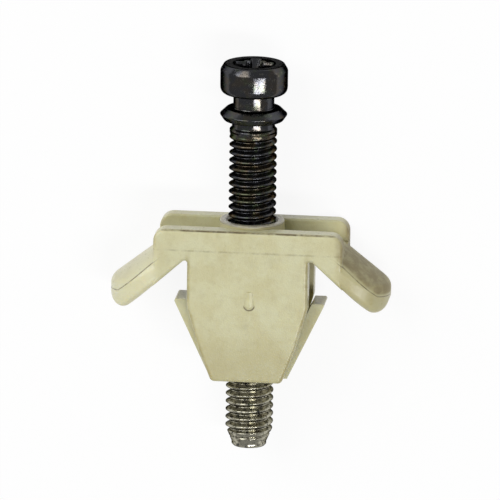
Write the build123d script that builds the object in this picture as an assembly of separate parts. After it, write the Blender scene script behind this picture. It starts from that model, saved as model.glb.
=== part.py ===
from build123d import *
import math
import os

# A captive adjusting screw in its snap-in moulded clip, lying on the clip's flat back.
# Millimetres. The screw runs along Y with its head at +Y, the clip's wings spread along X,
# and Z rises from the flat back face to the front face. The origin is on the floor,
# halfway along the screw and under its axis.

# ---- Screw -----------------------------------------------------------------------------
SCREW_LENGTH = 49.0            # tip to top of head
HEAD_DIA = 8.44
HEAD_HEIGHT = 3.8
HEAD_BEVEL_WIDTH = 0.45        # bevel round the top of the head, measured along the radius
HEAD_BEVEL_HEIGHT = 0.75
HEAD_UNDER_RADIUS = 0.95       # rounding under the rim of the head
HEAD_TOP_RADIUS = 0.2          # softening of the bevel's inner edge
HEAD_RIM_RADIUS = 0.3          # softening of the bevel's outer edge
COLLAR_FLAT_RADIUS = 0.2       # softening of the collar's two flats
COLLAR_RIM_RADIUS = 0.15       # softening of the collar's rim
NECK_DIA = 5.12                # waist that the bracket's keyhole slot grips
NECK_LENGTH = 1.84
COLLAR_DIA = 8.44
COLLAR_TOP_DIA = 6.8           # flat on the head side of the collar
COLLAR_SEAT_DIA = 7.4          # flat that seats on the clip's boss
COLLAR_TOP_SLOPE = 0.78        # height of the upper sloped side
COLLAR_SEAT_SLOPE = 0.78       # height of the lower sloped side
SHANK_DIA = 5.38               # plain shank under the collar
SHANK_LENGTH = 0.88
LAND_LENGTH = 0.6              # full-width ring left where the thread starts
THREAD_DIA = 5.95
THREAD_PITCH = 1.0
THREAD_DEPTH = 0.66
THREAD_CREST_SHARE = 0.125     # width of the crest as a share of the pitch
THREAD_START = 0.4             # groove's first turn starts this share of a pitch below the tip
LEAD_DIA = 4.34                # plain end that finds the hole
LEAD_LENGTH = 0.5
LEAD_CHAMFER = 0.2
LEAD_TAPER_LENGTH = 1.9        # over which the thread rises to its full height

# Cross recess in the head
RECESS_DIA = 4.9
RECESS_DEPTH = 2.5
RECESS_FLOOR_DIA = 1.5
RECESS_ARM_WIDTH = 1.15
RECESS_RIB_DIA = 3.5           # reach of the four small notches between the arms
RECESS_RIB_WIDTH = 0.5

# ---- Clip ------------------------------------------------------------------------------
TIP_REACH = 9.2                # how far the screw's tip stands out below the clip
CLIP_HEIGHT = 19.35            # foot of the body to the rim of the channel
CLIP_DEPTH = 10.2              # back face to front face
PLATE_THICKNESS = 2.35         # front and back plates
FLANGE_WIDTH = 23.7
FLANGE_CORNER = 1.6            # rounding of the flange's top corners
CHANNEL_DEPTH = 2.65
FLOOR_THICKNESS = 1.5          # web between the channel and the side pockets
BODY_WIDTH = 15.1
SHOULDER_HEIGHT = 9.6          # where the straight sides begin to taper
KNEE_WIDTH = 12.0
KNEE_HEIGHT = 4.15
FOOT_WIDTH = 8.8
FOOT_CORNER = 0.7
NOTCH_HEIGHT = 16.12           # where the underside of a wing meets the side of the body
NOTCH_RADIUS = 0.35
EDGE_RADIUS = 0.45             # rounding of the outer edges of both plates
RIM_RADIUS = 0.25              # rounding of the rim on the channel side
KNEE_RADIUS = 2.0              # rounding where the sides turn in towards the foot
SHOULDER_RADIUS = 1.5          # rounding where the straight sides begin to taper

WING_SPAN = 34.95
WING_TOP_SLOPE = 38.0          # degrees below the X axis
WING_UNDER_SLOPE = 42.2
WING_ROOT_DROP = 2.72          # rim to the top of the wing where it leaves the flange
RIGHT_WING_SET = 0.1           # how far each wing has set above its moulded height
LEFT_WING_SET = -0.35
DOME_HALF_WIDTH = 5.5          # ellipse of the wing's domed top, a little wider than the wing
DOME_RISE = 2.3
WING_TOP_RADIUS = 1.2          # rounding all along the edge of the dome
WING_UNDER_RADIUS = 0.8        # rounding all along the edge of the underside
WING_TIP_RADIUS = 1.5          # under the tip, seen from the front
WING_TIP_PLAN_RADIUS = 4.7     # round the tip, seen from above
WING_TIP_DRAFT = 20.0          # degrees by which the end leans in below WING_TIP_HEIGHT
WING_TIP_HEIGHT = 10.6
WING_FACE_TILT = 15.0          # a face that leans more than this many degrees up or down has a rim

BOSS_DIA = 8.1
BOSS_RISE = 0.5                # boss above the rim of the channel
BOSS_EDGE = 0.2
BORE_CLEARANCE = 0.05          # gap between the thread's crests and the bore, all round
BORE_CHAMFER = 0.3

BARB_SPAN = 19.0
BARB_LEDGE_HEIGHT = 9.75
BARB_LEDGE_WIDTH = 1.65
BARB_FOOT_WIDTH = 9.75         # over both barbs at the foot of the body
BARB_DEPTH = 4.4
BARB_TIP_RADIUS = 0.25
BARB_ROOT_HEIGHT = 1.9         # solid foot that carries both barbs

GATE_LENGTH = 1.7              # teardrop left where the moulding was cut from its feed
GATE_RADIUS = 0.9
GATE_TOP_RADIUS = 0.75
GATE_RISE = 0.25
GATE_HEIGHT = 10.0
GATE_OFFSET = 0.3              # to the right of the screw's axis

EPS = 0.05                     # overlap that makes two joined forms one solid
STANDING = (Align.CENTER, Align.CENTER, Align.MIN)

# ---- Sizes that follow -----------------------------------------------------------------
HEAD_R = HEAD_DIA / 2
NECK_R = NECK_DIA / 2
COLLAR_R = COLLAR_DIA / 2
SHANK_R = SHANK_DIA / 2
THREAD_R = THREAD_DIA / 2
ROOT_R = THREAD_R - THREAD_DEPTH
LEAD_R = LEAD_DIA / 2
HEAD_SEAT = SCREW_LENGTH - HEAD_HEIGHT
COLLAR_TOP = HEAD_SEAT - NECK_LENGTH
COLLAR_RIM = COLLAR_TOP - COLLAR_TOP_SLOPE
COLLAR_SEAT = COLLAR_RIM - COLLAR_SEAT_SLOPE
SHANK_END = COLLAR_SEAT - SHANK_LENGTH
LAND_END = SHANK_END - LAND_LENGTH

HALF_DEPTH = CLIP_DEPTH / 2
HALF_GAP = HALF_DEPTH - PLATE_THICKNESS
HALF_FLANGE = FLANGE_WIDTH / 2
HALF_BODY = BODY_WIDTH / 2
HALF_SPAN = WING_SPAN / 2
FLOOR_TOP = CLIP_HEIGHT - CHANNEL_DEPTH
FLOOR_UNDER = FLOOR_TOP - FLOOR_THICKNESS
WING_ROOT_TOP = CLIP_HEIGHT - WING_ROOT_DROP
BOSS_TOP = CLIP_HEIGHT + BOSS_RISE
BORE_R = THREAD_R + BORE_CLEARANCE
TOP_FALL = math.tan(math.radians(WING_TOP_SLOPE))
UNDER_FALL = math.tan(math.radians(WING_UNDER_SLOPE))
TIP_LEAN = math.tan(math.radians(WING_TIP_DRAFT))


# ---- Screw -----------------------------------------------------------------------------
def turned_blank():
    """The screw before its thread is cut: head, neck, collar, shank and a full-width stem."""
    corners = [
        (0, 0, 0),
        (THREAD_R, 0, 0),
        (THREAD_R, SHANK_END - (THREAD_R - SHANK_R), 0),
        (SHANK_R, SHANK_END, 0),
        (SHANK_R, COLLAR_SEAT, 0),
        (COLLAR_SEAT_DIA / 2, COLLAR_SEAT, COLLAR_FLAT_RADIUS),
        (COLLAR_R, COLLAR_RIM, COLLAR_RIM_RADIUS),
        (COLLAR_TOP_DIA / 2, COLLAR_TOP, COLLAR_FLAT_RADIUS),
        (NECK_R, COLLAR_TOP, 0),
        (NECK_R, HEAD_SEAT, 0),
        (HEAD_R, HEAD_SEAT, HEAD_UNDER_RADIUS),
        (HEAD_R, SCREW_LENGTH - HEAD_BEVEL_HEIGHT, HEAD_RIM_RADIUS),
        (HEAD_R - HEAD_BEVEL_WIDTH, SCREW_LENGTH, HEAD_TOP_RADIUS),
        (0, SCREW_LENGTH, 0),
    ]
    points = [(radius, 0, height) for radius, height, _ in corners]
    radii = [rounding for _, _, rounding in corners]
    outline = FilletPolyline(*points, radius=radii, close=True)
    turned = revolve(make_face(outline), axis=Axis.Z)
    return Rot(0, 0, 90) * turned


def thread_grooves():
    """The V groove between the thread's crests, right-handed, one solid for each turn."""
    crest = THREAD_CREST_SHARE * THREAD_PITCH
    slope = (THREAD_PITCH - crest) / 2 / THREAD_DEPTH
    mouth_r = THREAD_R + EPS
    half_mouth = (mouth_r - ROOT_R) * slope
    start = -THREAD_START * THREAD_PITCH
    section = Polyline(
        (ROOT_R, 0, start),
        (mouth_r, 0, start + half_mouth),
        (mouth_r, 0, start - half_mouth),
        close=True,
    )
    path = Helix(pitch=THREAD_PITCH, height=THREAD_PITCH, radius=THREAD_R, center=(0, 0, start))
    turn = sweep(Face(Wire(section.edges())), path=path, is_frenet=True)
    turns = math.floor((LAND_END - start) / THREAD_PITCH)
    return [Pos(0, 0, i * THREAD_PITCH) * turn for i in range(turns)]


def run_out():
    """The cone that brings the last turn of the groove up to the full-width land."""
    cone = Cone(ROOT_R, THREAD_R, THREAD_PITCH, align=STANDING)
    return Pos(0, 0, LAND_END - THREAD_PITCH) * cone


def lead_envelope():
    """The tapered plain end that the thread rises out of; wide open above it."""
    clear = max(HEAD_R, COLLAR_R) + 1
    full = LEAD_LENGTH + LEAD_TAPER_LENGTH
    outline = Polyline(
        (0, 0, 0),
        (LEAD_R - LEAD_CHAMFER, 0, 0),
        (LEAD_R, 0, LEAD_CHAMFER),
        (LEAD_R, 0, LEAD_LENGTH),
        (THREAD_R + EPS, 0, full),
        (clear, 0, full),
        (clear, 0, SCREW_LENGTH),
        (0, 0, SCREW_LENGTH),
        close=True,
    )
    return revolve(make_face(outline), axis=Axis.Z)


def cross_recess():
    """Cross recess with four small notches between its arms, narrowing to a small floor."""
    floor = SCREW_LENGTH - RECESS_DEPTH
    height = RECESS_DEPTH + EPS
    arm = Box(RECESS_DIA, RECESS_ARM_WIDTH, height, align=STANDING)
    rib = Box(RECESS_RIB_DIA, RECESS_RIB_WIDTH, height, align=STANDING)
    arms = arm + Rot(0, 0, 90) * arm
    ribs = (Rot(0, 0, 45) * rib) + (Rot(0, 0, -45) * rib)
    taper = Cone(RECESS_FLOOR_DIA / 2, RECESS_DIA / 2, height, align=STANDING)
    rib_taper = Cone(RECESS_FLOOR_DIA / 2, RECESS_RIB_DIA / 2, height, align=STANDING)
    heart = Cone(RECESS_FLOOR_DIA / 2, RECESS_ARM_WIDTH, height, align=STANDING)
    return Pos(0, 0, floor) * ((arms & taper) + (ribs & rib_taper) + heart)


def make_screw():
    """Whole screw, standing on its tip along Z."""
    threaded = (turned_blank() - thread_grooves()) + run_out()
    return (threaded & lead_envelope()) - cross_recess()


# ---- Clip (built upright: X across, Y up from the foot, Z from the screw's axis) ---------
def rounded_face(points):
    """A flat face from corner points (x, y, corner radius)."""
    corners = [(x, y) for x, y, _ in points]
    radii = [r for _, _, r in points]
    return make_face(FilletPolyline(*corners, radius=radii, close=True))


def two_sided(half):
    """A face from the points of its right half, foot first, given the set of that side's wing."""
    left = [(-x, y, r) for x, y, r in reversed(half(LEFT_WING_SET))]
    return rounded_face(half(RIGHT_WING_SET) + left)


def under_line(x):
    """Height of a wing's underside at the distance x from the screw's axis."""
    return NOTCH_HEIGHT - UNDER_FALL * (x - HALF_BODY)


def top_line(x):
    """Height of the middle of a wing's domed top at the distance x from the axis."""
    return WING_ROOT_TOP - TOP_FALL * (x - HALF_FLANGE)


def plate_half(wing_set):
    """Half the outline of a plate: foot, body, notch under the wing, and flange."""
    return [
        (FOOT_WIDTH / 2, 0, FOOT_CORNER),
        (KNEE_WIDTH / 2, KNEE_HEIGHT, KNEE_RADIUS),
        (HALF_BODY, SHOULDER_HEIGHT, SHOULDER_RADIUS),
        (HALF_BODY, NOTCH_HEIGHT + wing_set, NOTCH_RADIUS),
        (HALF_FLANGE, under_line(HALF_FLANGE) + wing_set, 0),
        (HALF_FLANGE, CLIP_HEIGHT, FLANGE_CORNER),
    ]


def plate():
    """One outer plate, body and flange in a single outline, its outer face at +Z."""
    solid = Pos(0, 0, HALF_GAP) * extrude(two_sided(plate_half), PLATE_THICKNESS)
    solid = fillet(solid.faces().sort_by(Axis.Z)[-1].edges(), EDGE_RADIUS)
    rim = solid.faces().sort_by(Axis.Z)[0].edges().filter_by(Axis.X).sort_by(Axis.Y)[-1]
    return fillet(rim, RIM_RADIUS)


def web_half(wing_set):
    """Half the outline of the web between the plates: channel floor and root of the wing."""
    under_x = HALF_BODY + (NOTCH_HEIGHT + wing_set - FLOOR_UNDER) / UNDER_FALL
    root_under = under_line(HALF_FLANGE) + wing_set
    return [(under_x, FLOOR_UNDER, 0), (HALF_FLANGE, root_under, 0), (HALF_FLANGE, FLOOR_TOP, 0)]


def web():
    """The channel's floor, between the two plates."""
    return extrude(two_sided(web_half), HALF_GAP + EPS, both=True)


def wing(wing_set):
    """The right finger wing: a bar with a domed top and rounded edges, its tip like a thumb."""
    root_x = HALF_FLANGE - EDGE_RADIUS - EPS
    drop = (WING_TIP_HEIGHT - under_line(HALF_SPAN)) / (1 + UNDER_FALL * TIP_LEAN)
    outline = [
        (root_x, under_line(root_x), 0),
        (HALF_SPAN - drop * TIP_LEAN, WING_TIP_HEIGHT - drop, WING_TIP_RADIUS),
        (HALF_SPAN, WING_TIP_HEIGHT, 0),
        (HALF_SPAN, top_line(HALF_SPAN) + DOME_RISE, 0),
        (root_x, top_line(root_x) + DOME_RISE, 0),
    ]
    bar = extrude(rounded_face(outline), HALF_DEPTH, both=True) - dome_cutter() - tip_cutter()
    bar = fillet(rim_edges(bar, Vector(0, 1, 0)), WING_TOP_RADIUS)
    bar = fillet(rim_edges(bar, Vector(0, -1, 0)), WING_UNDER_RADIUS)
    return Pos(0, wing_set, 0) * bar


def rim_edges(bar, way):
    """The edges round the faces of the wing that look up or down, but for those at its root."""
    least = math.sin(math.radians(WING_FACE_TILT))
    faces = [face for face in bar.faces() if face.normal_at().dot(way) > least]
    edges = [edge for face in faces for edge in face.edges()]
    outer = [edge for edge in edges if edge.center().X > HALF_FLANGE]
    return [e for e in outer if abs(e.center().Z) > EPS or e.center().X > HALF_SPAN - EPS]


def dome_cutter():
    """What is cut from the right wing to leave its top domed, highest along the middle."""
    slope = math.radians(WING_TOP_SLOPE)
    above = Pos(0, 2 * DOME_RISE) * Rectangle(CLIP_DEPTH + 2, 4 * DOME_RISE)
    section = above - Ellipse(DOME_HALF_WIDTH, DOME_RISE)
    along = Vector(math.cos(slope), -math.sin(slope), 0)
    base = Vector(HALF_FLANGE, WING_ROOT_TOP - DOME_RISE / math.cos(slope), 0)
    plane = Plane(origin=base - along * WING_SPAN / 2, x_dir=(0, 0, -1), z_dir=along)
    return extrude(plane * section, WING_SPAN)


def tip_cutter():
    """What is cut from the right wing to round the two corners of its tip, seen from above."""
    reach = WING_TIP_PLAN_RADIUS
    corner = Pos(HALF_SPAN - reach, HALF_DEPTH - reach)
    square = corner * Rectangle(2 * reach, 2 * reach, align=Align.MIN)
    sliver = square - corner * Circle(reach)
    tall = extrude(Plane.XZ * sliver, 2 * CLIP_HEIGHT, both=True)
    return tall + mirror(tall, about=Plane.XY)


def barbs():
    """Both snap barbs on the solid foot between the plates, with a gap behind each arm."""
    half_foot = BARB_FOOT_WIDTH / 2
    half_barb = BARB_SPAN / 2
    lean = (half_barb - half_foot) / BARB_LEDGE_HEIGHT
    inner_foot = half_foot - BARB_LEDGE_WIDTH + lean * BARB_ROOT_HEIGHT
    outline = Polyline(
        (inner_foot, BARB_ROOT_HEIGHT),
        (0, BARB_ROOT_HEIGHT),
        (0, 0),
        (half_foot, 0),
        (half_barb, BARB_LEDGE_HEIGHT),
        (half_barb - BARB_LEDGE_WIDTH, BARB_LEDGE_HEIGHT),
        close=True,
    )
    arm = extrude(make_face(outline), BARB_DEPTH / 2, both=True)
    tip = arm.edges().filter_by(Axis.Z).sort_by(Axis.X)[-1]
    arm = fillet(tip, BARB_TIP_RADIUS)
    foot = Box(FOOT_WIDTH, BARB_ROOT_HEIGHT, 2 * (HALF_GAP + EPS))
    return arm + mirror(arm, about=Plane.YZ) + Pos(0, BARB_ROOT_HEIGHT / 2, 0) * foot


def upright_cylinder(radius, bottom, top):
    """A cylinder along the screw's axis between two heights."""
    body = Cylinder(radius, top - bottom, align=STANDING)
    return Pos(0, bottom, 0) * (Rot(-90, 0, 0) * body)


def boss():
    """The sleeve round the screw, from the foot to just above the channel's rim."""
    sleeve = upright_cylinder(BOSS_DIA / 2, 0, BOSS_TOP)
    top_edge = sleeve.edges().filter_by(GeomType.CIRCLE).sort_by(Axis.Y)[-1]
    return fillet(top_edge, BOSS_EDGE)


def bore():
    """The hole for the screw, with a chamfered mouth at each end."""
    hole = upright_cylinder(BORE_R, -1, BOSS_TOP + 1)
    mouth = Cone(BORE_R + BORE_CHAMFER, BORE_R, BORE_CHAMFER, align=STANDING)
    foot_mouth = Rot(-90, 0, 0) * mouth
    top_mouth = Pos(0, BOSS_TOP, 0) * (Rot(90, 0, 0) * mouth)
    return hole + foot_mouth + top_mouth


def gate_mark():
    """The small raised teardrop on the front face, its round end towards the foot."""
    cone = Cone(GATE_RADIUS, GATE_TOP_RADIUS, GATE_LENGTH, align=STANDING)
    drop = (Rot(-90, 0, 0) * cone) + Sphere(GATE_RADIUS)
    return Pos(GATE_OFFSET, GATE_HEIGHT, HALF_DEPTH - GATE_RADIUS + GATE_RISE) * drop


def make_clip():
    """Whole clip, upright on its foot with the screw's axis along Y."""
    front = plate()
    wings = wing(RIGHT_WING_SET) + mirror(wing(LEFT_WING_SET), about=Plane.YZ)
    body = front + mirror(front, about=Plane.XY) + web() + wings + barbs() + boss()
    return body + gate_mark() - bore()


# ---- Laying down and writing -----------------------------------------------------------
def write(name, shape):
    """Write one sub-part as one STEP file."""
    shape.label = name
    export_step(shape, os.path.join("parts", name + ".step"))


def main():
    """Build both pieces in their resting place and write them."""
    os.makedirs("parts", exist_ok=True)
    middle = SCREW_LENGTH / 2
    screw = Pos(0, -middle, HALF_DEPTH) * (Rot(-90, 0, 0) * make_screw())
    clip = Pos(0, TIP_REACH - middle, HALF_DEPTH) * make_clip()
    write("screw", screw)
    write("clip", clip)


main()
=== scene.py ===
import math

import bpy
import numpy as np
from mathutils import Matrix, Vector


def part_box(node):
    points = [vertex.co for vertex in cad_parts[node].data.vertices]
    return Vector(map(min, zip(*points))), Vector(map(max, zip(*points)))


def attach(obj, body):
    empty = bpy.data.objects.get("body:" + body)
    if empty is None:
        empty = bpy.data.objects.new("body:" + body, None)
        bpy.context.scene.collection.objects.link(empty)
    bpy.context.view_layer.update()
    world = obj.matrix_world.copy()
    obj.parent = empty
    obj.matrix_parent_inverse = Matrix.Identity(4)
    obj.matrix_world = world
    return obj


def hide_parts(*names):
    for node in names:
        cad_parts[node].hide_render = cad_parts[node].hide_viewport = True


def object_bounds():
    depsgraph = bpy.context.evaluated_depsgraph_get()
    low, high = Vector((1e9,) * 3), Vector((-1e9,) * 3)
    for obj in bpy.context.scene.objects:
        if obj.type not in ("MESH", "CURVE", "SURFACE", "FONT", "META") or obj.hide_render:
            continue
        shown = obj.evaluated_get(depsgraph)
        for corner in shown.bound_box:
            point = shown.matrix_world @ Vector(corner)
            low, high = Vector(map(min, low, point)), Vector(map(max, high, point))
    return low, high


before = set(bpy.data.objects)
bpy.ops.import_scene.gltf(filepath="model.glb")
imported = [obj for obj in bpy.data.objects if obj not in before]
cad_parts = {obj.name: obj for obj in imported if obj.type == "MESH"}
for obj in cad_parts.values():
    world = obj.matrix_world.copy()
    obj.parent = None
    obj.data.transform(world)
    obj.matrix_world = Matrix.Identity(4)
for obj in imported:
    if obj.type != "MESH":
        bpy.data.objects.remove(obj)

bl_info = {
    "name": "Captive Adjusting Screw",
    "version": (1, 0, 0),
    "blender": (4, 5, 0),
    "location": "3D View > Sidebar > Captive Screw",
    "description": "A blackened adjusting screw in its snap-in nylon clip",
    "category": "Add Mesh",
}

MM = 0.001
CAD_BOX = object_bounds()
SCREW_LOW, SCREW_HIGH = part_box("screw")
CLIP_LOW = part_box("clip")[0]
SCREW_LENGTH = SCREW_HIGH.y - SCREW_LOW.y
HEAD_RADIUS = (SCREW_HIGH.x - SCREW_LOW.x) / 2
AXIS_HEIGHT = (SCREW_HIGH.z + SCREW_LOW.z) / 2
LIGHT_DISTANCE = 0.6
WORLD_STRENGTH = 0.33


# ---- Shader expressions ----------------------------------------------------------------
class Value:
    """A socket that can be used in an expression; each operator adds its Math node."""

    def __init__(self, shop, socket):
        self.shop = shop
        self.socket = socket

    def math(self, operation, other=None, swap=False):
        """Add a Math node to this value, and to another one if the operation takes two."""
        pair = [self] if other is None else [other, self] if swap else [self, other]
        return self.shop.node("ShaderNodeMath", dict(operation=operation), pair)

    def __add__(self, other):
        return self.math("ADD", other)

    __radd__ = __add__

    def __mul__(self, other):
        return self.math("MULTIPLY", other)

    __rmul__ = __mul__

    def __sub__(self, other):
        return self.math("SUBTRACT", other)

    def __rsub__(self, other):
        return self.math("SUBTRACT", other, swap=True)

    def away(self):
        """The value without its sign."""
        return self.math("ABSOLUTE")

    def root(self):
        """The square root of the value."""
        return self.math("SQRT")

    def least(self, other):
        """The smaller of two values."""
        return self.math("MINIMUM", other)

    def most(self, other):
        """The larger of two values."""
        return self.math("MAXIMUM", other)


class Shop:
    """The node tree of one material, and the few ways of adding to it."""

    def __init__(self, name):
        self.material = bpy.data.materials.new(name)
        self.material.use_nodes = True
        self.tree = self.material.node_tree
        self.tree.nodes.clear()

    def node(self, kind, settings=None, inputs=None, output=0):
        """Add a node: first its settings, then a list or dict of what goes to its sockets."""
        made = self.tree.nodes.new(kind)
        for key, value in (settings or {}).items():
            setattr(made, key, value)
        pairs = inputs.items() if isinstance(inputs, dict) else enumerate(inputs or [])
        for key, value in pairs:
            self.feed(made.inputs[key], value)
        return Value(self, made.outputs[output]) if len(made.outputs) else None

    def feed(self, socket, value):
        """Link a Value to a socket, or set a plain value on it."""
        if isinstance(value, Value):
            self.tree.links.new(value.socket, socket)
        else:
            socket.default_value = value

    def place(self):
        """The x, y and z of the piece's own coordinates, in millimetres."""
        at = self.node("ShaderNodeTexCoord", output="Object")
        scaled = self.node(
            "ShaderNodeVectorMath", dict(operation="SCALE"), {0: at, "Scale": 1 / MM}
        )
        split = self.tree.nodes.new("ShaderNodeSeparateXYZ")
        self.feed(split.inputs[0], scaled)
        return scaled, [Value(self, split.outputs[i]) for i in range(3)]

    def noise(self, at, scale, detail=3.0, roughness=0.5):
        """Smooth noise about 0.5, with scale in turns per millimetre."""
        return self.node(
            "ShaderNodeTexNoise",
            dict(noise_dimensions="3D"),
            {"Vector": at, "Scale": scale, "Detail": detail, "Roughness": roughness},
        )

    def ramp(self, value, low, high):
        """0 below low, 1 above high, and a smooth rise between them."""
        return self.node(
            "ShaderNodeMapRange",
            dict(interpolation_type="SMOOTHSTEP", clamp=True),
            {"Value": value, "From Min": low, "From Max": high, "To Min": 0.0, "To Max": 1.0},
        )

    def band(self, value, middle, half, soft):
        """1 within half of middle, falling to 0 over soft."""
        return 1 - self.ramp((value - middle).away(), half, half + soft)

    def mix(self, mask, first, second):
        """The first colour where the mask is 0 and the second where it is 1."""
        made = self.tree.nodes.new("ShaderNodeMix")
        made.data_type = "RGBA"
        for index, value in ((0, mask), (6, first), (7, second)):
            self.feed(made.inputs[index], value)
        return Value(self, made.outputs[2])

    def bump(self, height, distance):
        """A bump from a height field, its distance in millimetres."""
        return self.node(
            "ShaderNodeBump", None, {"Height": height, "Distance": distance * MM, "Strength": 1.0}
        )

    def surface(self, **inputs):
        """Finish the tree with one Principled shader."""
        words = {key.replace("_", " "): value for key, value in inputs.items()}
        shader = self.node("ShaderNodeBsdfPrincipled", None, words)
        self.node("ShaderNodeOutputMaterial", None, {"Surface": shader})
        return self.material


def rgba(colour):
    """A colour property as the four numbers of a colour socket."""
    return (*colour[:3], 1.0)


# ---- Materials -------------------------------------------------------------------------
def black_steel(sizes):
    """Blackened, lightly oiled steel: dark, with a gloss that is best on the turned head and
    dull on the thread, faint brown and green stains, and the black rubbed away in spots and over
    most of the thread below the clip."""
    shop = Shop("black_steel")
    at, (_, y, _) = shop.place()
    worn = 1 - shop.ramp(y, CLIP_LOW.y / MM - 1.0, CLIP_LOW.y / MM + 1.0)
    turned = shop.ramp(y, sizes.turned_from - 0.6, sizes.turned_from + 0.6)
    stain = shop.ramp(shop.noise(at, 0.55, 4.0, 0.6), 0.45, 0.62)
    green = shop.ramp(shop.noise(at, 0.95, 3.0, 0.5), 0.52, 0.66)
    spots = shop.noise(at, 2.4, 5.0, 0.7)
    rubbed = shop.ramp(spots + 0.2 * worn, 0.58, 0.7)
    fine = shop.noise(at, 7.0, 4.0, 0.7)
    coarse = shop.noise(at, 1.7, 3.0, 0.6)
    steel, stained = rgba(sizes.steel_colour), rgba(sizes.stain_colour)
    colour = shop.mix(stain * (0.8 - 0.4 * turned), steel, stained)
    colour = shop.mix(green * (0.7 - 0.3 * turned), colour, rgba(sizes.green_colour))
    colour = shop.mix(rubbed * (0.25 + 0.65 * worn), colour, rgba(sizes.rubbed_colour))
    dull = shop.ramp(fine + 0.5 * coarse, 0.64 + 0.1 * turned, 0.98)
    return shop.surface(
        Base_Color=colour,
        Roughness=0.1 + 0.42 * dull,
        Metallic=1.0,
        Specular_Tint=(0, 0, 0, 1),
        Normal=shop.bump(fine + coarse, 0.006),
    )


def beside_body(sizes, x, h):
    """How far a point lies outside the edge of the body's plates, from its height over the foot:
    its distance from the axis less the smallest of the foot's slope, the side's slope and the
    body's half width."""
    lower = sizes.foot_half + sizes.foot_slope * h
    middle = sizes.side_half + sizes.side_slope * h
    return x.away() - lower.least(middle).least(sizes.body_half)


def wing_seam(sizes, x, h):
    """Height over the line where the mould parts on each wing: a slope that levels out round
    the tip, moved by how far that wing has set."""
    out = x.away() - sizes.wing_root
    slope = sizes.seam_height - sizes.seam_fall * out
    level = sizes.seam_tip_height - sizes.seam_tip_fall * out
    lift = sizes.left_set + x.math("GREATER_THAN", 0.0) * (sizes.right_set - sizes.left_set)
    return h - slope.most(level) - lift


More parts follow.
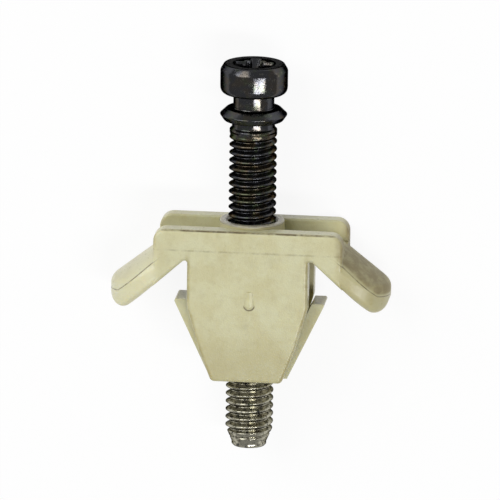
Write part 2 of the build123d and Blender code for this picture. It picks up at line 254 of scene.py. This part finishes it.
def natural_nylon(sizes):
    """Yellowed natural nylon: mottled, with a seam on each wing, grime along the rim and a scuffed
    boss.
    Painted shade makes the channel's walls faintly tan and the pockets brown, and darkens the
    plates' edges, the back rim, the flange ends, the boss's side, the front towards the foot and
    the right wing; painted light makes the left wing paler;
    the wings are darker behind their seams, partly grime and partly painted shade; a painted shadow
    lies under the gate mark."""
    shop = Shop("natural_nylon")
    at, (x, y, z) = shop.place()
    h = y - CLIP_LOW.y / MM
    across = z - AXIS_HEIGHT / MM
    depth = across.away()
    front = shop.ramp(z, sizes.clip_depth - 0.75, sizes.clip_depth - 0.15)
    blotch = shop.noise(at, 0.32, 4.0, 0.6)
    cloud = shop.noise(at, 0.85, 4.0, 0.6)
    grain = shop.noise(at, 2.6, 5.0, 0.65)
    along = shop.ramp(cloud, 0.32, 0.62)
    fresh, aged = rgba(sizes.nylon_colour), rgba(sizes.aged_colour)
    deep, dirt_and_shadow = rgba(sizes.tone_and_shade_colour), rgba(sizes.dirt_and_shadow_colour)
    colour = shop.mix(shop.ramp(blotch, 0.38, 0.66), fresh, aged)
    colour = shop.mix(shop.ramp(cloud, 0.45, 0.75) * 0.18, colour, deep)
    colour = shop.mix(shop.ramp(grain, 0.5, 0.8) * 0.22, colour, deep)

    root = shop.ramp(x.away(), sizes.wing_root - 1.2, sizes.wing_root)
    # Painted shade: the inner faces of the plates are darkened a little in the channel and brown
    # deep in the pockets.
    walls = shop.band(depth, sizes.inner_half, 0.12, 0.2) * (1 - root)
    low = 1 - shop.ramp(h, 14.0, 15.2)
    colour = shop.mix(walls * 0.03, colour, deep)
    colour = shop.mix(walls * low * 0.4, colour, rgba(sizes.shade_and_dirt_brown))
    # Painted shade: the front grows darker towards the foot.
    foot = 1 - shop.ramp(h, 0.0, 9.0)
    colour = shop.mix(foot * front * 0.4, colour, deep)
    body = 1 - shop.ramp(h, sizes.notch_height - 1, sizes.notch_height + 1)
    outer = shop.ramp(depth, sizes.clip_depth / 2 - 0.5, sizes.clip_depth / 2 - 0.1)
    # Painted shade: a darker band along the outer edges of the body's plates.
    edge = shop.band(beside_body(sizes, x, h), -0.05, 0.1, 0.45) * body * outer
    colour = shop.mix(edge * (0.3 + 0.4 * along), colour, deep)
    # Painted shade: darker along the top of the back rim and at the flange's ends by the wings.
    top = shop.ramp(h, sizes.rim_height - 0.25, sizes.rim_height - 0.03) * outer * (1 - front)
    ends = shop.band(x.away(), sizes.wing_root, 0.1, 0.4) * shop.ramp(h, 16.9, 17.4)
    colour = shop.mix(top.most(ends) * (0.4 + 0.5 * along), colour, deep)

    rim = shop.band(h, sizes.rim_height - 0.12, 0.05, 0.08) * front
    colour = shop.mix(rim * (0.25 + 0.7 * along), colour, dirt_and_shadow)
    sink = shop.band(h, sizes.channel_floor, 0.03, 0.16) * front
    colour = shop.mix(sink * along * 0.3, colour, dirt_and_shadow)

    radius = (x * x + across * across).root()
    # Painted shade: the side of the boss under its top is darker.
    sleeve = shop.band(radius, sizes.boss_radius, 0.03, 0.1) * shop.ramp(h, 16.0, 16.6)
    colour = shop.mix(sleeve * 0.4, colour, deep)
    ring = shop.ramp(h, sizes.rim_height + 0.15, sizes.rim_height + 0.4)
    ring = ring * (1 - shop.ramp(radius, sizes.boss_radius, sizes.boss_radius + 0.25))
    colour = shop.mix(ring * (0.55 + 0.35 * along), colour, rgba(sizes.ring_colour))

    beside = x - sizes.gate_offset
    below = h - sizes.gate_height
    around = (beside * beside + below * below).root()
    # Painted shadow: a dark crescent under the gate mark's raised round end, in the grime colour.
    gate_shadow = shop.band(around, sizes.gate_radius, 0.03, 0.1) * front
    gate_shadow = gate_shadow * (1 - shop.ramp(below, -0.35, 0.1))
    colour = shop.mix(gate_shadow * 0.85, colour, dirt_and_shadow)
    smudge = (1 - shop.ramp(beside.away(), 0.2, 0.9)) * shop.band(h, 7.6, 0.6, 1.0) * front
    colour = shop.mix(smudge * along * 0.12, colour, dirt_and_shadow)

    over = wing_seam(sizes, x, h)
    out = shop.ramp(x.away(), sizes.wing_root - 1.2, sizes.wing_root + 0.3)
    right = shop.ramp(x, -1.0, 1.0)
    # Painted shade on the right wing and painted light on the left wing, as the light falls from
    # the left.
    colour = shop.mix(right * out * 0.45, colour, deep)
    colour = shop.mix((1 - right) * out * 0.6, colour, rgba(sizes.painted_light_colour))
    # Darker behind each wing's seam: partly grime, partly painted shade, brown and strongest on the
    # right wing.
    behind = shop.ramp(over, 0.1, 2.6 - 2.1 * right) * out
    colour = shop.mix(behind * 0.5 * (0.6 + 0.4 * along), colour, deep)
    colour = shop.mix(behind * right * (0.25 + 0.35 * along), colour, rgba(sizes.shade_and_dirt_brown))
    seam = shop.band(over, 0.0, 0.03, 0.07) * out
    colour = shop.mix(seam * (0.2 + 0.65 * along), colour, dirt_and_shadow)
    fine = shop.noise(at, 5.0, 4.0, 0.65)
    relief = fine + 0.6 * grain + 2.0 * seam + 1.5 * ring * grain
    return shop.surface(
        Base_Color=colour,
        Roughness=0.2 + 0.2 * grain - 0.05 * ring + 0.3 * behind * right,
        Subsurface_Weight=0.3,
        Subsurface_Radius=(1.0, 0.85, 0.45),
        Subsurface_Scale=0.0016,
        Normal=shop.bump(relief, 0.03),
    )


# ---- Screw -----------------------------------------------------------------------------
def rounded(points, radii, samples=7):
    """A polyline whose corners are bent: each corner becomes a parabola between the two points
    that lie its radius before and after it, (1-t)^2 a + 2t(1-t) c + t^2 b."""
    points = np.asarray(points, float)
    radii = np.asarray(radii, float)[:, None]
    before = np.roll(points, 1, axis=0) - points
    after = np.roll(points, -1, axis=0) - points
    before /= np.maximum(np.linalg.norm(before, axis=1, keepdims=True), 1e-9)
    after /= np.maximum(np.linalg.norm(after, axis=1, keepdims=True), 1e-9)
    start = points + before * radii
    end = points + after * radii
    t = np.linspace(0, 1, samples)[None, :, None]
    bent = (1 - t) ** 2 * start[:, None] + 2 * t * (1 - t) * points[:, None] + t**2 * end[:, None]
    return bent.reshape(-1, 2)


def closed_grid(name, grid, first, last):
    """A mesh from rows of rings (rows, columns, xyz), closed at each end by one point."""
    rows, columns, _ = grid.shape
    vertices = np.vstack([grid.reshape(-1, 3), [first], [last]])
    index = np.arange(rows * columns).reshape(rows, columns)
    beside = np.roll(index, -1, axis=1)
    quads = np.stack([index[:-1], index[1:], beside[1:], beside[:-1]], axis=-1).reshape(-1, 4)
    low = np.full(columns, rows * columns)
    high = low + 1
    fans = np.vstack(
        [np.stack([beside[0], low, index[0]], 1), np.stack([index[-1], high, beside[-1]], 1)]
    )
    mesh = bpy.data.meshes.new(name)
    mesh.from_pydata(vertices, [], quads.tolist() + fans.tolist())
    mesh.shade_smooth()
    piece = bpy.data.objects.new(name, mesh)
    bpy.context.scene.collection.objects.link(piece)
    return piece


def thread_radius(sizes, y, angle):
    """Radius of the threaded stem, in millimetres: the crest radius less the groove's depth, where
    the depth follows the distance from the nearest crest of a right-handed helix, part straight
    flank and part cosine; it fades in below the land and is held inside the tapered lead."""
    turns = y / sizes.pitch - angle / (2 * math.pi) - sizes.thread_start
    offset = np.abs(turns - np.round(turns))
    crest = sizes.crest_share / 2
    t = np.clip((offset - crest) / (0.5 - crest), 0, 1)
    straight = sizes.flank_share
    groove = straight * t + (1 - straight) * (1 - np.cos(math.pi * t)) / 2
    grown = np.clip((sizes.land_end - y) / (sizes.pitch * sizes.runout_turns), 0, 1)
    grown = grown * grown * (3 - 2 * grown)
    outer = sizes.thread_diameter / 2
    radius = outer - sizes.thread_depth * groove * grown
    taper = np.clip((y - sizes.lead_length) / sizes.lead_taper, 0, 1)
    lead = sizes.lead_diameter / 2
    return np.minimum(radius, lead + (outer - lead) * taper)


def recess_depth(sizes, x, z):
    """Depth of the cross recess at a point of the head: a cone that narrows to the floor, let
    through only inside the two crossed arms and the two thin ribs turned by 45 degrees."""
    rho = np.hypot(x, z)
    reach = sizes.recess_diameter / 2
    floor = sizes.recess_floor / 2
    cone = np.clip((reach - rho) / (reach - floor), 0, 1)
    rib_reach = reach * sizes.rib_reach_share
    rib_cone = np.clip((rib_reach - rho) / (rib_reach - floor), 0, 1)
    soft = 0.1
    half = sizes.recess_arm / 2
    arms = np.maximum(*(np.clip((half - np.abs(a)) / soft + 0.5, 0, 1) for a in (x, z)))
    u, v = (x + z) / math.sqrt(2), (x - z) / math.sqrt(2)
    thin = half * sizes.rib_width_share
    ribs = np.maximum(*(np.clip((thin - np.abs(a)) / soft + 0.5, 0, 1) for a in (u, v)))
    return sizes.recess_depth * np.maximum(cone * arms, rib_cone * ribs)


def head_profile(sizes):
    """Radius and height of the screw above its thread, from the land to the bevel of the head."""
    top = SCREW_LENGTH / MM
    head = HEAD_RADIUS / MM
    seat = top - sizes.head_height
    collar_top = seat - sizes.neck_length
    rim = collar_top - sizes.collar_slope
    collar_seat = rim - sizes.collar_slope
    shank_end = collar_seat - sizes.shank_length
    step = (sizes.thread_diameter - sizes.shank_diameter) / 2
    corners = [
        (sizes.thread_diameter / 2, sizes.land_end, 0.0),
        (sizes.thread_diameter / 2, shank_end - step, 0.08),
        (sizes.shank_diameter / 2, shank_end, 0.08),
        (sizes.shank_diameter / 2, collar_seat, 0.12),
        (sizes.collar_seat / 2, collar_seat, 0.14),
        (head, rim, 0.12),
        (sizes.collar_top / 2, collar_top, 0.12),
        (sizes.neck_diameter / 2, collar_top, 0.15),
        (sizes.neck_diameter / 2, seat, 0.15),
        (head, seat, 0.95),
        (head, top - sizes.bevel_height, 0.2),
        (head - sizes.bevel_width, top, 0.13),
        (sizes.recess_diameter / 2 + 0.3, top, 0.0),
    ]
    corners = np.array(corners)
    return rounded(corners[:, :2], corners[:, 2])


def screw_grid(sizes):
    """The whole screw as rings: cap, threaded stem, turned head, and the top with its recess."""
    angle = np.linspace(0, 2 * math.pi, sizes.columns, endpoint=False)[None, :]
    stem = np.arange(0, sizes.land_end, sizes.pitch / sizes.rows_per_turn)[:, None]
    chamfer = sizes.lead_chamfer
    stem_radius = thread_radius(sizes, stem, angle)
    stem_radius = np.minimum(stem_radius, sizes.lead_diameter / 2 - chamfer + np.maximum(stem, 0))
    shares = np.array([0.25, 0.5, 0.75])[:, None]
    cap = shares * (sizes.lead_diameter / 2 - chamfer)
    profile = head_profile(sizes)
    edge = profile[-1, 0]
    rings = np.linspace(edge, 0, sizes.top_rings + 2)[1:-1, None]
    top = SCREW_LENGTH / MM
    around = np.ones_like(angle)
    radius = np.vstack([cap * around, stem_radius, profile[:, :1] * around, rings * around])
    sunk = recess_depth(sizes, rings * np.cos(angle), rings * np.sin(angle))
    height = np.vstack(
        [cap * 0 * around, stem * around, profile[:, 1:] * around, top * around - sunk]
    )
    return radius, height, np.broadcast_to(angle, radius.shape), top - sizes.recess_depth


def make_screw(sizes):
    """The screw's surface, laid along Y about its axis."""
    radius, height, angle, floor = screw_grid(sizes)
    grid = np.stack([radius * np.cos(angle), height, -radius * np.sin(angle)], axis=-1) * MM
    shift = np.array([0, SCREW_LOW.y, AXIS_HEIGHT])
    first = shift
    last = shift + np.array([0, floor * MM, 0])
    return closed_grid("screw_body", grid + shift, first, last)


# ---- Properties ------------------------------------------------------------------------
def length(name, description, default):
    """A length property in millimetres."""
    return bpy.props.FloatProperty(name=name, description=description, default=default, min=0.0)


def colour(name, description, default):
    """A colour property."""
    return bpy.props.FloatVectorProperty(
        name=name, description=description, subtype="COLOR", size=3, min=0, max=1, default=default
    )


class ScrewSizes(bpy.types.PropertyGroup):
    """Sizes of the screw in millimetres, and its colours."""

    pitch: length("Pitch", "Advance of the thread in one turn", 1.0)
    thread_diameter: length("Thread", "Diameter over the thread's crests", 5.95)
    thread_depth: length("Thread depth", "Crest to root of the thread", 0.66)
    crest_share: bpy.props.FloatProperty(
        name="Crest", description="Crest width as a share of the pitch", default=0.12,
        subtype="FACTOR",
    )
    flank_share: bpy.props.FloatProperty(
        name="Flank", description="Share of the flank that is straight", default=0.62,
        subtype="FACTOR",
    )
    runout_turns: bpy.props.FloatProperty(
        name="Run-out", description="Turns over which the thread fades below the land", default=1.25
    )
    thread_start: bpy.props.FloatProperty(
        name="Start", description="Share of a turn at which the thread starts", default=0.1
    )
    land_end: length("Land", "Height at which the thread runs out into the land", 40.32)
    lead_diameter: length("Lead", "Diameter of the plain end", 4.34)
    lead_length: length("Lead length", "Length of the plain end", 0.5)
    lead_taper: length("Lead taper", "Length over which the thread rises to its full height", 1.9)
    lead_chamfer: length("Lead chamfer", "Chamfer round the tip", 0.2)
    shank_diameter: length("Shank", "Diameter of the plain shank under the collar", 5.38)
    shank_length: length("Shank length", "Length of the plain shank", 0.88)
    collar_top: length("Collar top", "Diameter of the collar's flat on the head side", 6.8)
    collar_seat: length("Collar seat", "Diameter of the collar's flat on the thread side", 7.4)
    collar_slope: length("Collar slope", "Height of each sloped side of the collar", 0.78)
    neck_diameter: length("Neck", "Diameter of the waist between head and collar", 5.12)
    neck_length: length("Neck length", "Length of the waist", 1.84)
    head_height: length("Head height", "Height of the head", 3.8)
    bevel_width: length("Bevel width", "Width of the bevel round the head", 0.45)
    bevel_height: length("Bevel height", "Height of the bevel round the head", 0.75)
    recess_diameter: length("Recess", "Reach of the cross recess", 4.9)
    recess_depth: length("Recess depth", "Depth of the cross recess", 2.5)
    recess_floor: length("Recess floor", "Diameter of the recess's floor", 1.5)
    recess_arm: length("Recess arm", "Width of each arm of the cross", 1.15)
    rib_reach_share: bpy.props.FloatProperty(
        name="Rib reach", description="Reach of the thin ribs as a share of the recess's",
        default=0.72, subtype="FACTOR",
    )
    rib_width_share: bpy.props.FloatProperty(
        name="Rib width", description="Width of the thin ribs as a share of an arm's",
        default=0.43, subtype="FACTOR",
    )
    columns: bpy.props.IntProperty(
        name="Columns", description="Points round the screw", default=112, min=16
    )
    rows_per_turn: bpy.props.IntProperty(
        name="Rows", description="Rings in one turn of the thread", default=14, min=6
    )
    top_rings: bpy.props.IntProperty(
        name="Top rings", description="Rings across the top of the head", default=60, min=8
    )
    turned_from: bpy.props.FloatProperty(
        name="Turned from", description="Where the turned part starts, above the screw's middle",
        default=16.0,
    )
    steel_colour: colour("Steel", "Blackened steel", (0.07, 0.071, 0.078))
    stain_colour: colour("Stain", "Brown stain on the steel", (0.11, 0.085, 0.05))
    green_colour: colour("Green", "Greenish stain on the steel", (0.08, 0.10, 0.06))
    rubbed_colour: colour("Rubbed", "Steel where the black is rubbed away", (0.52, 0.50, 0.40))


class ClipSizes(bpy.types.PropertyGroup):
    """Sizes of the clip in millimetres, and its colours."""

    clip_depth: length("Depth", "Back face to front face", 10.2)
    inner_half: length("Inner half", "Half of the gap between the two plates", 2.75)
    channel_floor: length("Channel floor", "Height of the channel's floor over the foot", 16.7)
    rim_height: length("Rim", "Height of the channel's rim over the foot", 19.35)
    body_half: length("Body half", "Half of the body's width", 7.55)
    side_half: length("Side half", "Half width that the body's sloped side starts from", 4.82)
    side_slope: bpy.props.FloatProperty(
        name="Side slope", description="Widening of the side for each millimetre up", default=0.2844
    )
    foot_half: length("Foot half", "Half width of the body's foot", 4.4)
    foot_slope: bpy.props.FloatProperty(
        name="Foot slope", description="Widening of the foot for each millimetre up", default=0.3855
    )
    wing_root: length("Wing root", "Distance of the wings' roots from the screw's axis", 11.85)
    notch_height: length("Notch", "Height of the notches under the wings over the foot", 16.12)
    seam_height: length("Seam", "Height of the mould's seam at the root of a wing", 15.25)
    seam_tip_height: length("Seam at tip", "Height that the seam levels out from", 12.4)
    seam_fall: bpy.props.FloatProperty(
        name="Seam fall", description="Fall of the seam for each millimetre outwards", default=0.9
    )
    seam_tip_fall: bpy.props.FloatProperty(
        name="Seam tip fall", description="The same fall round the tip", default=0.25
    )
    right_set: bpy.props.FloatProperty(
        name="Right set", description="How far the right wing has set upwards", default=0.1
    )
    left_set: bpy.props.FloatProperty(
        name="Left set", description="How far the left wing has set upwards", default=-0.35
    )
    boss_radius: length("Boss", "Radius of the round boss", 4.05)
    gate_height: length("Gate", "Height of the gate mark's round end over the foot", 10.0)
    # Radius of the painted shadow round the gate mark's round end.
    gate_radius: length("Gate radius", "Radius of the gate mark's dark lip", 0.66)
    gate_offset: length("Gate offset", "Gate mark to the right of the screw's axis", 0.3)
    # Painted light: the left wing's nylon made paler.
    painted_light_colour: colour("Pale", "Paler nylon of the left wing", (0.74, 0.72, 0.50))
    nylon_colour: colour("Nylon", "Fresh natural nylon", (0.60, 0.585, 0.375))
    aged_colour: colour("Aged", "Yellowed nylon", (0.56, 0.53, 0.315))
    # Used for the random mottling, and for painted shade on the walls, edges, rim, boss, foot and
    # wings.
    tone_and_shade_colour: colour("Deep", "Nylon deep in the channel and pockets", (0.34, 0.29, 0.13))
    # Painted shade in the pockets; behind the right wing's seam it stands partly for shade and
    # partly for grime.
    shade_and_dirt_brown: colour("Pocket", "Shaded nylon deep in the side pockets", (0.16, 0.12, 0.055))
    # This colour serves real grime on the rim, seams and smudge, and the painted shadow under the
    # gate mark.
    dirt_and_shadow_colour: colour("Dirt", "Dirt in the seams and along the rim", (0.13, 0.10, 0.05))
    ring_colour: colour("Ring", "Scuffed grey top of the boss", (0.30, 0.28, 0.23))


class StageSizes(bpy.types.PropertyGroup):
    """Floor, light and camera."""

    distance: bpy.props.FloatProperty(
        name="Distance", description="Camera to the object", default=2.4, unit="LENGTH"
    )
    width: bpy.props.FloatProperty(
        name="Width", description="Width of the view at the object", default=0.06228, unit="LENGTH"
    )
    side: bpy.props.FloatProperty(
        name="Side", description="Camera to the right of straight above",
        default=math.radians(6.04), subtype="ANGLE",
    )
    rise: bpy.props.FloatProperty(
        name="Rise", description="Camera towards the head from straight above",
        default=math.radians(14.5), subtype="ANGLE",
    )
    roll: bpy.props.FloatProperty(
        name="Roll", description="Turn of the camera about its own axis",
        default=math.radians(0.84), subtype="ANGLE",
    )
    aim_up: bpy.props.FloatProperty(
        name="Aim up", description="Middle of the view above the screw's middle",
        default=0.00051, unit="LENGTH",
    )
    aim_left: bpy.props.FloatProperty(
        name="Aim left", description="Middle of the view to the left of the screw's axis",
        default=0.0002, unit="LENGTH",
    )
    floor_half: bpy.props.FloatProperty(
        name="Floor half", description="Half of the floor's width", default=2.0, unit="LENGTH"
    )
    floor_colour: colour("Floor", "Plain pale floor", (0.88, 0.88, 0.88))
    whiteness: bpy.props.FloatProperty(
        name="Whiteness", description="Share of plain white in the floor as it is seen",
        default=0.9, subtype="FACTOR",
    )


# ---- Operators -------------------------------------------------------------------------
class CAPTIVE_OT_screw(bpy.types.Operator):
    """Make the screw and give it its finish"""

    bl_idname = "captive.screw"
    bl_label = "Screw"

    def execute(self, context):
        sizes = context.scene.captive_screw
        piece = make_screw(sizes)
        steel = black_steel(sizes)
        piece.data.materials.append(steel)
        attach(piece, "screw")
        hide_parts("screw")
        finish_node("screw", steel)
        return {"FINISHED"}


class CAPTIVE_OT_clip(bpy.types.Operator):
    """Give the moulded clip its finish"""

    bl_idname = "captive.clip"
    bl_label = "Clip"

    def execute(self, context):
        finish_node("clip", natural_nylon(context.scene.captive_clip))
        return {"FINISHED"}


class CAPTIVE_OT_stage(bpy.types.Operator):
    """Make the floor, the lights and the camera"""

    bl_idname = "captive.stage"
    bl_label = "Stage"

    def execute(self, context):
        sizes = context.scene.captive_stage
        make_floor(sizes)
        make_lights()
        make_camera(sizes)
        return {"FINISHED"}


class CAPTIVE_PT_panel(bpy.types.Panel):
    """Buttons for the pieces, and their sizes"""

    bl_idname = "CAPTIVE_PT_panel"
    bl_label = "Captive Screw"
    bl_space_type = "VIEW_3D"
    bl_region_type = "UI"
    bl_category = "Captive Screw"

    def draw(self, context):
        for group, operator in (
            (context.scene.captive_screw, CAPTIVE_OT_screw),
            (context.scene.captive_clip, CAPTIVE_OT_clip),
            (context.scene.captive_stage, CAPTIVE_OT_stage),
        ):
            box = self.layout.box()
            box.operator(operator.bl_idname)
            for key in group.__annotations__:
                box.prop(group, key)


CLASSES = (
    ScrewSizes, ClipSizes, StageSizes,
    CAPTIVE_OT_screw, CAPTIVE_OT_clip, CAPTIVE_OT_stage, CAPTIVE_PT_panel,
)


def finish_node(node, material):
    """Give a CAD node one material."""
    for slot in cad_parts[node].material_slots:
        slot.material = material


# ---- Stage -----------------------------------------------------------------------------
def make_floor(sizes):
    """A wide flat floor at the object's lowest point, white to the camera but for its shadow."""
    grid = np.linspace(-sizes.floor_half, sizes.floor_half, 3)
    x, y = np.meshgrid(grid, grid, indexing="ij")
    vertices = np.stack([x, y, np.full_like(x, CAD_BOX[0][2])], axis=-1).reshape(-1, 3)
    index = np.arange(9).reshape(3, 3)
    faces = np.stack([index[:-1, :-1], index[1:, :-1], index[1:, 1:], index[:-1, 1:]], axis=-1)
    mesh = bpy.data.meshes.new("floor")
    mesh.from_pydata(vertices, [], faces.reshape(-1, 4).tolist())
    floor = bpy.data.objects.new("floor", mesh)
    bpy.context.scene.collection.objects.link(floor)
    shop = Shop("pale_floor")
    rays = shop.tree.nodes.new("ShaderNodeLightPath")
    words = ("Is Camera Ray", "Is Glossy Ray", "Is Transmission Ray")
    camera, glossy, through = (Value(shop, rays.outputs[word]) for word in words)
    seen = camera.most(glossy).most(through)
    diffuse = shop.node("ShaderNodeBsdfDiffuse", None, {"Color": rgba(sizes.floor_colour)})
    glow = shop.node("ShaderNodeEmission", None, {"Color": (1, 1, 1, 1), "Strength": 1.0})
    mixed = shop.node("ShaderNodeMixShader", None, [seen * sizes.whiteness, diffuse, glow])
    shop.node("ShaderNodeOutputMaterial", None, {"Surface": mixed})
    mesh.materials.append(shop.material)


def area_light(name, direction, size, power):
    """A soft light that looks at the middle of the object from a direction; its size is given
    across the object and then along it."""
    lamp = bpy.data.lights.new(name, "AREA")
    lamp.shape = "RECTANGLE"
    lamp.size, lamp.size_y = size
    lamp.energy = power
    holder = bpy.data.objects.new(name, lamp)
    bpy.context.scene.collection.objects.link(holder)
    way = Vector(direction).normalized()
    across = (Vector((1, 0, 0)) - way * way.x).normalized()
    holder.rotation_euler = Matrix((across, way.cross(across), way)).transposed().to_euler()
    holder.location = Vector((0, 0, AXIS_HEIGHT)) + way * LIGHT_DISTANCE


def make_lights():
    """One key light at the upper left, a wide strip at the lower right, and a plain soft world."""
    area_light("key", (-0.55, 0.46, 0.70), size=(0.45, 0.45), power=2.05)
    area_light("strip", (0.405, -0.25, 0.88), size=(0.36, 0.07), power=1.6)
    world = bpy.data.worlds.new("studio")
    world.use_nodes = True
    soft = world.node_tree.nodes["Background"]
    soft.inputs["Color"].default_value = (1, 1, 1, 1)
    soft.inputs["Strength"].default_value = WORLD_STRENGTH
    bpy.context.scene.world = world


def make_camera(sizes):
    """A long lens nearly straight above, leaning towards the head and a little to the right."""
    towards = Vector((
        math.sin(sizes.side) * math.cos(sizes.rise),
        math.sin(sizes.rise),
        math.cos(sizes.side) * math.cos(sizes.rise),
    ))
    level = (Vector((0, 1, 0)) - towards * towards.y).normalized()
    right = level.cross(towards)
    up = level * math.cos(sizes.roll) - right * math.sin(sizes.roll)
    right = up.cross(towards)
    target = Vector((0, 0, AXIS_HEIGHT)) + up * sizes.aim_up - right * sizes.aim_left
    turn = Matrix((right, up, towards)).transposed().to_4x4()
    lens = bpy.data.cameras.new("camera")
    lens.sensor_width = 36.0
    lens.lens = lens.sensor_width * sizes.distance / sizes.width
    camera = bpy.data.objects.new("camera", lens)
    camera.matrix_world = Matrix.Translation(target + towards * sizes.distance) @ turn
    bpy.context.scene.collection.objects.link(camera)
    bpy.context.scene.camera = camera
    bpy.context.scene.view_settings.view_transform = "Standard"


def register():
    """Register the classes and hang the sizes on the scene."""
    for item in CLASSES:
        bpy.utils.register_class(item)
    bpy.types.Scene.captive_screw = bpy.props.PointerProperty(type=ScrewSizes)
    bpy.types.Scene.captive_clip = bpy.props.PointerProperty(type=ClipSizes)
    bpy.types.Scene.captive_stage = bpy.props.PointerProperty(type=StageSizes)


def unregister():
    """Take the sizes and classes away again."""
    for key in ("captive_screw", "captive_clip", "captive_stage"):
        delattr(bpy.types.Scene, key)
    for item in reversed(CLASSES):
        bpy.utils.unregister_class(item)


def main():
    """Make everything in order."""
    register()
    bpy.ops.captive.screw()
    bpy.ops.captive.clip()
    bpy.ops.captive.stage()


if __name__ == "__main__":
    main()
